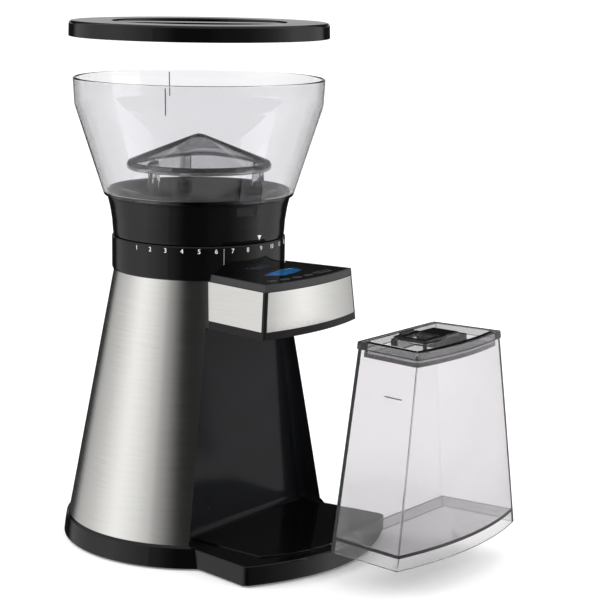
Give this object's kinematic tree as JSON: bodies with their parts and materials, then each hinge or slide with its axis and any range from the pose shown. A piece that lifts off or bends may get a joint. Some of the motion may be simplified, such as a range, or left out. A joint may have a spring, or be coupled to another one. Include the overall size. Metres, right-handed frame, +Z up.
{
  "type": "burr coffee grinder",
  "caption": "Conical burr coffee grinder: flared clear hopper on a turning collar and scale ring, steel cone body, control head over an open bay, smoked grounds chamber drawn out, lid raised.",
  "frame": {"origin": "on the table under the burr axis, at the centre of the round base", "axes": "+Z up along the burr axis, -Y towards the front where the head, bay and grounds chamber are, +X completing a right-handed frame"},
  "size_m": [0.2329, 0.3675, 0.429],
  "materials": {
    "brushed_steel": "fine vertical brushing under a satin sheen",
    "gloss_black": "moulded, high gloss",
    "satin_black": "moulded, fine satin texture",
    "charcoal": "moulded, smooth satin",
    "smoked_clear": "clear smoke-tinted polycarbonate, polished",
    "rubber": "matt",
    "display_blue": "tinted lens",
    "lcd": "lit blue display",
    "circuit_board": "green solder resist",
    "steel_plain": "turned steel",
    "hardened_steel": "hardened burr steel, ground",
    "nylon": "moulded nylon",
    "bronze": "sintered bronze"
  },
  "bodies": {
    "machine": {"base_shell": "gloss_black", "bay_tray": "gloss_black", "bottom_cover": "satin_black", "rubber_feet": "rubber", "base_screws": "steel_plain", "cord_inlet": "rubber", "body_shell": "brushed_steel", "bay_liner": "charcoal", "frame_posts": "steel_plain", "chassis_deck": "satin_black", "deck_screws": "steel_plain", "head_frame": "satin_black", "side_panel_left": "brushed_steel", "side_panel_right": "brushed_steel", "front_panel": "brushed_steel", "console": "gloss_black", "display_lens": "display_blue", "lcd_module": "lcd", "control_board": "circuit_board", "power_board": "circuit_board", "motor_can": "steel_plain", "motor_mounts": "rubber", "gearbox_case": "satin_black", "gearbox_cover": "satin_black", "compound_pin": "steel_plain", "lower_bearing": "bronze", "upper_bearing": "steel_plain", "grind_housing": "satin_black", "grounds_chute": "satin_black", "scale_ring": "gloss_black", "chamber_switch": "satin_black", "hopper_switch": "satin_black"},
    "hopper_turret": {"collar": "gloss_black", "hopper": "smoked_clear", "hopper_floor": "gloss_black", "hopper_spout": "gloss_black", "hopper_guard": "smoked_clear"},
    "ring_burr_carrier": {"burr_carrier": "satin_black", "ring_burr": "hardened_steel"},
    "lid": {"hopper_lid": "gloss_black"},
    "burr_drive": {"burr_shaft": "steel_plain", "output_gear": "nylon", "sweep_paddle": "satin_black", "cone_burr": "hardened_steel", "shaft_nut": "bronze"},
    "idler": {"compound_gear": "nylon"},
    "rotor": {"motor_rotor": "steel_plain", "motor_pinion": "steel_plain", "cooling_fan": "satin_black"},
    "chamber": {"chamber_body": "smoked_clear"},
    "chamber_cover": {"chamber_lid": "smoked_clear"},
    "shutter": {"inlet_shutter": "gloss_black"},
    "key_1": {"button_1": "satin_black"},
    "key_2": {"button_2": "satin_black"},
    "key_3": {"button_3": "satin_black"},
    "key_4": {"button_4": "satin_black"},
    "start_key": {"start_button": "satin_black"},
    "chamber_plunger": {"chamber_pin": "satin_black"},
    "hopper_plunger": {"hopper_pin": "satin_black"}
  },
  "joints": [
    {"name": "hopper_turn", "type": "hinge", "parent": "machine", "child": "hopper_turret", "pos_m": [0, 0, 0.2545], "axis": [0, 0, 1], "range_deg": [-88, 99]},
    {"name": "ring_burr_height", "type": "slide", "parent": "hopper_turret", "child": "ring_burr_carrier", "axis": [0, 0, 1], "range_m": [-0.0009, 0.0009]},
    {"name": "lid_lift", "type": "slide", "parent": "hopper_turret", "child": "lid", "axis": [0, 0, 1], "range_m": [-0.0412, 0]},
    {"name": "chamber_draw", "type": "slide", "parent": "machine", "child": "chamber", "axis": [0.2742, -0.9597, 0.0609], "range_m": [-0.13129, 0]},
    {"name": "chamber_lid_lift", "type": "slide", "parent": "chamber", "child": "chamber_cover", "axis": [0, 0, 1], "range_m": [0, 0.03]},
    {"name": "shutter_slide", "type": "slide", "parent": "chamber_cover", "child": "shutter", "axis": [-1, 0, 0], "range_m": [0, 0.024]},
    {"name": "motor_spin", "type": "hinge", "parent": "machine", "child": "rotor", "pos_m": [0, 0.04412, 0.15], "axis": [0, 0, 1], "continuous": true},
    {"name": "idler_spin", "type": "hinge", "parent": "machine", "child": "idler", "pos_m": [0.018, 0.024, 0.205], "axis": [0, 0, 1], "continuous": true},
    {"name": "burr_spin", "type": "hinge", "parent": "machine", "child": "burr_drive", "pos_m": [0, 0, 0.205], "axis": [0, 0, 1], "continuous": true},
    {"name": "key_1_press", "type": "slide", "parent": "machine", "child": "key_1", "axis": [0, 0, -1], "range_m": [0, 0.001], "stiffness_N_per_m": 900},
    {"name": "key_2_press", "type": "slide", "parent": "machine", "child": "key_2", "axis": [0, 0, -1], "range_m": [0, 0.001], "stiffness_N_per_m": 900},
    {"name": "key_3_press", "type": "slide", "parent": "machine", "child": "key_3", "axis": [0, 0, -1], "range_m": [0, 0.001], "stiffness_N_per_m": 900},
    {"name": "key_4_press", "type": "slide", "parent": "machine", "child": "key_4", "axis": [0, 0, -1], "range_m": [0, 0.001], "stiffness_N_per_m": 900},
    {"name": "start_press", "type": "slide", "parent": "machine", "child": "start_key", "axis": [0, 0, -1], "range_m": [0, 0.001], "stiffness_N_per_m": 900},
    {"name": "chamber_plunger_press", "type": "slide", "parent": "machine", "child": "chamber_plunger", "axis": [0, 1, 0], "range_m": [0, 0.0009], "stiffness_N_per_m": 300},
    {"name": "hopper_plunger_press", "type": "slide", "parent": "machine", "child": "hopper_plunger", "axis": [0, 0, -1], "range_m": [0, 0.0008], "stiffness_N_per_m": 300}
  ],
  "couplings": [
    {"joint": "ring_burr_height", "follows": "hopper_turn", "m_per_rad": 0.00047746},
    {"joint": "idler_spin", "follows": "motor_spin", "ratio": -0.2},
    {"joint": "burr_spin", "follows": "motor_spin", "ratio": 0.066667}
  ]
}
